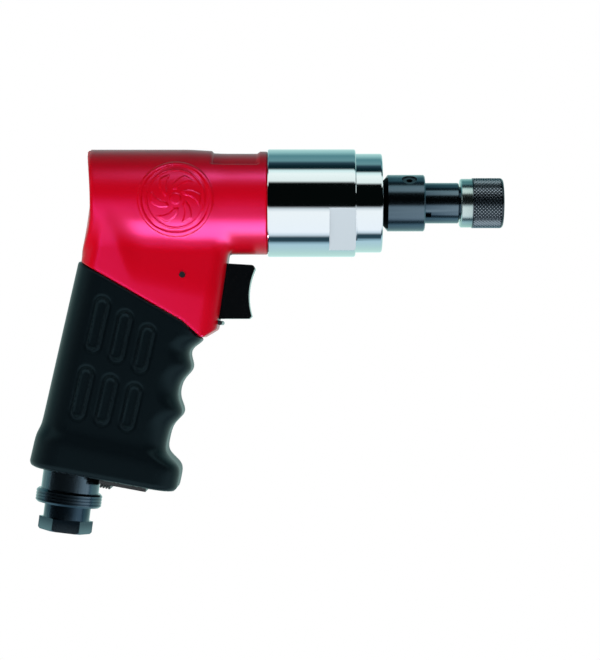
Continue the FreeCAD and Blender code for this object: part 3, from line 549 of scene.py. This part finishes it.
def solid_box(low, high):
    verts = [(x, y, z) for x in (low[0], high[0]) for y in (low[1], high[1]) for z in (low[2], high[2])]
    faces = [(0, 1, 3, 2), (4, 6, 7, 5), (0, 4, 5, 1), (2, 3, 7, 6), (0, 2, 6, 4), (1, 5, 7, 3)]
    return verts, faces


def temp_object(name, verts, faces):
    mesh = bpy.data.meshes.new(name)
    mesh.from_pydata([tuple(Vector(v) * MM) for v in verts], [], faces)
    obj = bpy.data.objects.new(name, mesh)
    bpy.context.scene.collection.objects.link(obj)
    bm = bmesh.new()
    bm.from_mesh(mesh)
    bmesh.ops.recalc_face_normals(bm, faces=bm.faces)
    bm.to_mesh(mesh)
    bm.free()
    return obj


def carve(obj, shapes, operation="DIFFERENCE"):
    """Apply exact booleans with each (verts, faces) shape and keep the result as a plain mesh."""
    tools = []
    for i, (verts, faces) in enumerate(shapes):
        tool = temp_object("tool%d" % i, verts, faces)
        tools.append(tool)
        cut = obj.modifiers.new("Cut", "BOOLEAN")
        cut.operation = operation
        cut.solver = "EXACT"
        cut.object = tool
    graph = bpy.context.evaluated_depsgraph_get()
    result = bpy.data.meshes.new_from_object(obj.evaluated_get(graph))
    obj.modifiers.clear()
    obj.data = result
    for tool in tools:
        bpy.data.objects.remove(tool)
    return obj


housing = bpy.data.objects.new("housing_skin", skin)
bpy.context.scene.collection.objects.link(housing)
carve(housing, [
    solid_rod(18.45, (-117.5, 0, 0), (-40, 0, 0), 192),
    solid_rod(6.5, (-112, 0, -37.5), (-92, 0, -37.5)),
    solid_rod(7.0, (-93, 0, -37.5), (-75, 0, -37.5)),
    solid_box((-80.1, -9.95, -48.75), (-50, 9.95, -25.45)),
    solid_rod(1.27, (-82.7, -30, -30.5), (-82.7, 30, -30.5), 48),
    solid_rod(0.92, (-67.3, -30, -50.3), (-67.3, 30, -50.3), 48),
])
housing.data.materials.clear()
housing.data.materials.append(FINISHES["housing_paint"])
shade(housing, 40)
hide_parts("housing")
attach(housing, "tool")
spigot_verts, spigot_faces = revolve([(-47.9, 18.45), (-47.9, 20.3), (-40.7, 20.3), (-40.7, 18.45)])
spigot = new_piece("housing_spigot", spigot_verts, spigot_faces, "housing_paint")
print("housing:", len(housing.data.polygons), "faces")

# %% [markdown]
# ## Rubber grip
# The grip is one structured sheet: columns run round the handle, rows run down it from the parting
# line to the rounded bottom lip. Finger ridges and the bottom flare come from formulas; the oval
# pads are raised with a small valley round each.

# %% Grip section
def flare(s):
    return 0.5 + 0.5 * np.tanh((s - 103.0) / 2.6)


def grip_limits(s):
    front = 25.6 + 8.3 * flare(s) + 4.8 * np.exp(-((np.maximum(s, 51.1) - 51.1) / 4.6) ** 2)
    for height, place in ((3.2, 64.2), (3.6, 83.3)):
        front = front + height * np.exp(-((s - place) / 4.8) ** 2)
    return -27.0 - 1.3 * flare(s), front, 19.8 + 1.3 * flare(s)


def section_point(rear, front, half, r_rear, r_front, u):
    """Point and outward normal on a rounded rectangle, u from 0 to 1 round it by length."""
    flat_f = half - r_front
    end_f = flat_f + r_front * np.pi / 2
    flat_s = front - rear - r_front - r_rear
    end_s = end_f + flat_s
    end_r = end_s + r_rear * np.pi / 2
    length = end_r + half - r_rear
    t = np.where(u < 0.5, u, 1 - u) * 2 * length
    sign = np.where(u < 0.5, 1.0, -1.0)
    a = np.clip((t - flat_f) / r_front, 0, np.pi / 2)
    b = np.clip((t - end_s) / r_rear, 0, np.pi / 2)
    along_f = np.clip(t, 0, flat_f)
    along_s = np.clip(t - end_f, 0, flat_s)
    along_r = np.clip(t - end_r, 0, half - r_rear)
    w = front - r_front * (1 - np.cos(a)) - along_s - r_rear * np.sin(b)
    y = along_f + r_front * np.sin(a) - r_rear * (1 - np.cos(b)) - along_r
    return w, y * sign, np.cos(a + b), np.sin(a + b) * sign


# %% [markdown]
# Six pads per side: two rows of three. Each column further forward starts a little lower, as the
# parting line does.

# %% Oval pads
PADS = []
for column in range(3):
    w_pad = -12.4 + 10.4 * column
    PADS.append((w_pad, 44.0 + 3.6 * column, 66.0 + 2.0 * column))
    PADS.append((w_pad, 73.5 + 1.2 * column, 94.5))
PAD_HALF = 2.6


def pad_relief(w, s):
    """Height over the grip: a rim round each pad, a flat floor inside it and a groove outside."""
    height = np.zeros_like(w)
    for w_pad, start, end in PADS:
        near = np.clip(s, start + PAD_HALF, end - PAD_HALF)
        d = np.hypot(w - w_pad, s - near) - PAD_HALF
        rim = np.exp(-((d + 0.55) / 0.50) ** 2)
        groove = np.exp(-((d - 0.65) / 0.50) ** 2)
        floor = 1 - smoothstep(-1.6, -0.9, d)
        height = height + 0.70 * rim - 0.45 * groove + 0.10 * floor
    return height


# %% Grip mesh
def grip_mesh(columns=420, rows=190):
    u = (np.arange(columns) + 0.5) / columns
    bottom_turn = math.radians(10.5)
    base_x, base_z = -129.8, -112.5

    def bottom(w, s_guess):
        """Distance down the handle where the slanted bottom plane lies."""
        x, z = from_handle(w, s_guess)
        t = -(x - base_x) * math.sin(bottom_turn) - (z - base_z) * math.cos(bottom_turn)
        return s_guess - t / math.cos(TILT - bottom_turn)

    rings = []
    for v in np.linspace(0, 1, rows):
        s = np.full(columns, 60.0)
        for _ in range(6):
            rear, front, half = grip_limits(s)
            w, y, nw, ny = section_point(rear, front, half, 13.0, 10.0, u)
            top = parting(w) + 0.15
            low = bottom(w, 118.0 + 0 * w)
            s = top + (low - top) * v
        relief = pad_relief(w, s) * smoothstep(0.90, 0.985, np.abs(ny))
        edge_top = np.minimum((s - top) / 1.3, 1)
        edge_low = np.minimum((low - s) / 2.6, 1)
        tuck = 1.2 * (1 - np.sqrt(1 - (1 - edge_top) ** 2)) + 2.4 * (1 - np.sqrt(1 - (1 - edge_low) ** 2))
        out = relief - tuck
        rings.append((w + nw * out, y + ny * out, s))
    first = [(w * 0.88, y * 0.80, s + 0.6) for w, y, s in rings[:1]]
    last = [(w + (-1.0 - w) * 0.25, y * 0.75, s) for w, y, s in rings[-1:]]
    verts = []
    for w, y, s in first + rings + last:
        x, z = from_handle(w, s)
        verts.append(np.stack([x, y, z], axis=1))
    count = len(verts)
    verts = np.concatenate(verts)
    faces = ring_faces(count, columns)
    faces.append(tuple(range(columns))[::-1])
    faces.append(tuple((count - 1) * columns + c for c in range(columns)))
    return verts, faces


grip_verts, grip_faces = grip_mesh()
grip = new_piece("grip_skin", grip_verts, grip_faces, "grip_rubber", "grip", "tool", 50)
print("grip:", len(grip_faces), "faces, pads:", 2 * len(PADS))

# %% [markdown]
# ## Polished gear case
# Turned from one profile with fine steps, so the mirror finish reflects clean bands. The two wrench
# flats are cut at 35.7 degrees below level, and the inside is hollow as in the CAD.

# %% Gear case
case_profile = [(-47.7, 20.3), (-47.7, 22.1), (-47.55, 22.4), (-47.2, 22.55), (-46.9, 22.55), (-12.1, 22.55), (-11.9, 22.55),
                (-11.4, 22.42), (-11.1, 22.0), (-11.1, 20.7), (-10.9, 20.7), (-0.9, 20.7), (-0.7, 20.7), (-0.2, 20.5), (0, 20.0),
                (0, 12.52), (-13, 12.52), (-13, 9.5), (-18, 9.5), (-18, 13.52), (-27, 13.52),
                (-27, 16.8), (-37, 16.8), (-37, 18.45), (-40.7, 18.45), (-40.7, 20.3)]
case = new_piece("gear_case_skin", *revolve(case_profile, 256), "polished_steel", "gear_case")
flat_tools = []
for turn_deg in (180 + 35.7, 35.7):
    a = math.radians(turn_deg)
    out = Vector((0, math.cos(a), math.sin(a)))
    side = Vector((0, -out.z, out.y))
    corners = [(x, r, t) for x in (-22.1, -10.5) for r in (20.0, 30.0) for t in (-30.0, 30.0)]
    verts = [Vector((x, 0, 0)) + out * r + side * t for x, r, t in corners]
    flat_tools.append((verts, solid_box((0, 0, 0), (1, 1, 1))[1]))
carve(case, flat_tools)
shade(case, 20)
hairline(case, 0.12)
print("gear case:", len(case.data.polygons), "faces")

# %% [markdown]
# ## Knurled ring
# The diamond knurl is a Geometry Nodes group: points on a staggered lattice are wrapped round the
# ring and each carries a small four-sided pyramid.

# %% Geometry Nodes helpers
def geometry_group(name, sockets):
    group = bpy.data.node_groups.new(name, "GeometryNodeTree")
    group.interface.new_socket(name="Geometry", in_out="OUTPUT", socket_type="NodeSocketGeometry")
    for label, kind, value in sockets:
        socket = group.interface.new_socket(name=label, in_out="INPUT", socket_type=kind)
        if value is not None:
            socket.default_value = value
    return group, group.nodes.new("NodeGroupInput"), group.nodes.new("NodeGroupOutput")


def run_group(name, group, values, body):
    """Evaluate a geometry group on an empty mesh and keep the plain mesh it makes."""
    carrier = bpy.data.objects.new(name + "_source", bpy.data.meshes.new(name + "_source"))
    bpy.context.scene.collection.objects.link(carrier)
    modifier = carrier.modifiers.new("Repeat", "NODES")
    modifier.node_group = group
    for item in group.interface.items_tree:
        if item.item_type == "SOCKET" and item.in_out == "INPUT" and item.name in values:
            modifier[item.identifier] = values[item.name]
    carrier.update_tag()
    graph = bpy.context.evaluated_depsgraph_get()
    mesh = bpy.data.meshes.new_from_object(carrier.evaluated_get(graph))
    bpy.data.objects.remove(carrier)
    obj = bpy.data.objects.new(name, mesh)
    bpy.context.scene.collection.objects.link(obj)
    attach(obj, body)
    return obj


# %% Diamond knurl group
def knurl_group():
    group, gin, gout = geometry_group("Diamond knurl", [
        ("Radius", "NodeSocketFloat", 0.0103),
        ("Start", "NodeSocketFloat", 0.0382),
        ("Length", "NodeSocketFloat", 0.0124),
        ("Around", "NodeSocketInt", 60),
        ("Along", "NodeSocketInt", 25),
        ("Depth", "NodeSocketFloat", 0.0004),
        ("Seed", "NodeSocketInt", 1),
        ("Material", "NodeSocketMaterial", None),
    ])
    n, link = group.nodes.new, group.links.new
    total = math_node(group, "MULTIPLY", gin.outputs["Around"], gin.outputs["Along"])
    line = n("GeometryNodeMeshLine")
    link(total, line.inputs["Count"])
    index = n("GeometryNodeInputIndex").outputs[0]
    row = math_node(group, "FLOOR", math_node(group, "DIVIDE", index, gin.outputs["Around"]))
    column = math_node(group, "MODULO", index, gin.outputs["Around"])
    shift = math_node(group, "MULTIPLY", math_node(group, "MODULO", row, 2.0), 0.5)
    share = math_node(group, "DIVIDE", math_node(group, "ADD", column, shift), gin.outputs["Around"])
    angle = math_node(group, "MULTIPLY", share, 2 * math.pi)
    gaps = math_node(group, "SUBTRACT", gin.outputs["Along"], 1.0)
    reach = math_node(group, "MULTIPLY", math_node(group, "DIVIDE", row, gaps), gin.outputs["Length"])
    place = n("ShaderNodeCombineXYZ")
    link(math_node(group, "ADD", reach, gin.outputs["Start"]), place.inputs[0])
    link(math_node(group, "MULTIPLY", math_node(group, "COSINE", angle), gin.outputs["Radius"]),
         place.inputs[1])
    link(math_node(group, "MULTIPLY", math_node(group, "SINE", angle), gin.outputs["Radius"]),
         place.inputs[2])
    move = n("GeometryNodeSetPosition")
    link(line.outputs[0], move.inputs["Geometry"])
    link(place.outputs[0], move.inputs["Position"])
    cone = n("GeometryNodeMeshCone")
    cone.fill_type = "NGON"
    cone.inputs["Vertices"].default_value = 4
    cone.inputs["Radius Top"].default_value = 0.00022
    cone.inputs["Radius Bottom"].default_value = 0.00075
    link(gin.outputs["Depth"], cone.inputs["Depth"])
    spin = n("ShaderNodeCombineXYZ")
    spin.inputs[1].default_value = math.pi / 2
    link(angle, spin.inputs[0])
    tilt = n("FunctionNodeAxesToRotation")
    tilt.primary_axis = "Z"
    tilt.secondary_axis = "X"
    radial = n("ShaderNodeCombineXYZ")
    link(math_node(group, "COSINE", angle), radial.inputs[1])
    link(math_node(group, "SINE", angle), radial.inputs[2])
    link(radial.outputs[0], tilt.inputs["Primary Axis"])
    tilt.inputs["Secondary Axis"].default_value = (1.0, 0.0, 0.0)
    spread = n("GeometryNodeInstanceOnPoints")
    link(move.outputs[0], spread.inputs["Points"])
    link(cone.outputs["Mesh"], spread.inputs["Instance"])
    link(tilt.outputs[0], spread.inputs["Rotation"])
    real = n("GeometryNodeRealizeInstances")
    paint = n("GeometryNodeSetMaterial")
    link(spread.outputs[0], real.inputs[0])
    link(real.outputs[0], paint.inputs["Geometry"])
    link(gin.outputs["Material"], paint.inputs["Material"])
    link(paint.outputs[0], gout.inputs["Geometry"])
    return group


knurl = run_group("knurl_diamonds", knurl_group(), {
    "Radius": 10.05 * MM, "Start": 38.4 * MM, "Length": 11.0 * MM, "Around": 45, "Along": 16,
    "Depth": 0.45 * MM, "Seed": 1, "Material": FINISHES["knurl_steel"]}, "sleeve")
ring_profile = [(37.6, 9.45), (37.6, 10.2), (37.9, 10.45), (38.1, 10.45), (38.2, 10.1), (49.6, 10.1),
                (49.8, 10.45), (50.1, 10.4), (50.5, 10.1), (50.75, 9.7), (50.8, 9.4), (50.8, 9.0),
                (50.0, 9.0), (50.0, 9.45)]
knurl_base = new_piece("knurl_base", *revolve(ring_profile, 144), "knurl_steel", "knurled_ring",
                       "sleeve", 40)
print("knurl:", len(knurl.data.polygons), "facets")

# %% [markdown]
# ## Springs
# Each spring gets its own copy of its mesh here; it is not shortened. The table still gives each spring's
# joint, fixed end, length and travel.
# The sleeve spring shortens toward the stop ring, the valve spring toward the end of the valve bore, and
# what is left at the end of travel is the length less the travel.

# %% Springs with their own meshes
for name, joint, fixed, length, travel in (("sleeve_spring", "sleeve_slide", 48.4, 7.0, 3.0),
                                           ("valve_spring", "trigger_slide", -112.0, 11.0, 5.5)):
    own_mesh(nodes[name])

# %% [markdown]
# ## Studio
# A white studio seen only in reflections: soft boxes above and below the lens, a dark gap between
# them and grey walls behind, which is what draws the bands on the polished gear case. The camera
# itself sees plain white.

# %% World
ENVIRONMENT = [(-180, (0.40, 0.60, 0.57)), (-140, (0.41, 0.62, 0.60)), (-104, (0.37, 0.56, 0.65)),
               (-97, (0.20, 0.34, 0.42)), (-92, (0.02, 0.05, 0.07)), (-82, (0.02, 0.05, 0.07)),
               (-75, (0.55, 0.66, 0.75)), (-68, (0.80, 0.87, 0.94)), (-22, (0.82, 0.88, 0.92)),
               (-16, (0.60, 0.68, 0.74)), (-10, (0.001, 0.002, 0.002)), (40, (0.001, 0.002, 0.002)),
               (45, (0.72, 0.82, 0.82)), (62, (0.80, 0.90, 0.90)), (70, (0.62, 0.82, 0.83)),
               (76, (0.002, 0.012, 0.017)), (84, (0.004, 0.018, 0.025)), (92, (0.02, 0.05, 0.07)),
               (100, (0.12, 0.27, 0.30)), (118, (0.08, 0.22, 0.25)), (136, (0.24, 0.46, 0.47)),
               (166, (0.38, 0.56, 0.54)), (180, (0.40, 0.60, 0.57))]
STUDIO_STRENGTH = 1.75


def studio_world():
    world = bpy.data.worlds.new("Studio")
    bpy.context.scene.world = world
    world.use_nodes = True
    tree = world.node_tree
    tree.nodes.clear()
    n, link = tree.nodes.new, tree.links.new
    coord = n("ShaderNodeTexCoord")
    split = n("ShaderNodeSeparateXYZ")
    link(coord.outputs["Generated"], split.inputs[0])
    front = math_node(tree, "MULTIPLY", split.outputs["Y"], -1.0)
    lift = math_node(tree, "ARCTAN2", split.outputs["Z"], front)
    share = math_node(tree, "MULTIPLY_ADD", lift, 1 / (2 * math.pi))
    share.node.inputs[2].default_value = 0.5
    ramp = n("ShaderNodeValToRGB")
    link(share, ramp.inputs[0])
    elements = ramp.color_ramp.elements
    while len(elements) < len(ENVIRONMENT):
        elements.new(0.5)
    for element, (degrees, color) in zip(elements, ENVIRONMENT):
        element.position = degrees / 360 + 0.5
        element.color = (*color, 1.0)
    studio = n("ShaderNodeBackground")
    studio.inputs["Strength"].default_value = STUDIO_STRENGTH
    link(ramp.outputs[0], studio.inputs["Color"])
    dim = n("ShaderNodeBackground")
    dim.inputs["Color"].default_value = (0.12, 0.13, 0.14, 1.0)
    white = n("ShaderNodeBackground")
    white.inputs["Color"].default_value = (1.0, 1.0, 1.0, 1.0)
    path = n("ShaderNodeLightPath")
    soft = n("ShaderNodeMixShader")
    link(path.outputs["Is Diffuse Ray"], soft.inputs[0])
    link(studio.outputs[0], soft.inputs[1])
    link(dim.outputs[0], soft.inputs[2])
    mix = n("ShaderNodeMixShader")
    link(path.outputs["Is Camera Ray"], mix.inputs[0])
    link(soft.outputs[0], mix.inputs[1])
    link(white.outputs[0], mix.inputs[2])
    out = n("ShaderNodeOutputWorld")
    link(mix.outputs[0], out.inputs["Surface"])


studio_world()
print("studio bands:", len(ENVIRONMENT))

# %% Lights and camera
def area(name, place, aim, size, watts, color=(1, 1, 1)):
    light = bpy.data.lights.new(name, "AREA")
    light.size = size
    light.energy = watts
    light.color = color
    lamp = bpy.data.objects.new(name, light)
    lamp.location = place
    lamp.rotation_euler = (Vector(aim) - Vector(place)).to_track_quat("-Z", "Y").to_euler()
    bpy.context.scene.collection.objects.link(lamp)
    return lamp


def strip(name, place, aim, long, wide, watts, color):
    """A long narrow lamp that only draws a highlight on the painted housing."""
    lamp = area(name, place, aim, long, watts, color)
    lamp.data.shape = "RECTANGLE"
    lamp.data.size_y = wide
    lamp.visible_diffuse = False
    lamp.light_linking.receiver_collection = painted
    return lamp


painted = bpy.data.collections.new("Painted housing")
painted.objects.link(housing)
for lamp in (area("Key", (-0.15, -0.70, -0.20), (-0.07, 0, -0.04), 0.40, 3.6),
             area("Low front", (0.10, -0.55, -0.45), (-0.06, 0, -0.05), 0.40, 1.9),
             area("Rim", (-0.55, -0.10, 0.10), (-0.10, 0, -0.05), 0.30, 1.0)):
    lamp.visible_glossy = False
strip("Low strip", (-0.05, -0.30, -0.50), (-0.08, 0, 0), 0.50, 0.32, 28.0, (1.0, 0.9, 1.0))
strip("High strip", (0.05, -0.30, 0.50), (-0.06, 0, 0), 0.30, 0.12, 4.0, (1.0, 0.9, 1.0))
strip("Rear glow", (-0.24, -0.55, -0.12), (-0.11, 0, 0), 0.10, 0.30, 1.6, (1.0, 0.6, 1.0))

camera_data = bpy.data.cameras.new("Camera")
camera = bpy.data.objects.new("Camera", camera_data)
bpy.context.scene.collection.objects.link(camera)
bpy.context.scene.camera = camera
PIXEL = 0.42 * MM
DISTANCE = 0.88
centre_x, centre_z = (300 - 381.5) * PIXEL, (203.2 - 330) * PIXEL
camera.location = (centre_x, -DISTANCE, centre_z)
camera.rotation_euler = (math.pi / 2, 0, 0)
camera_data.sensor_fit = "VERTICAL"
camera_data.sensor_height = 36.0
camera_data.lens = 36.0 * DISTANCE / (660 * PIXEL)
camera_data.clip_start = 0.05
bpy.context.scene.view_settings.view_transform = "Standard"
print("camera lens:", round(camera_data.lens, 1), "mm at", DISTANCE, "m")
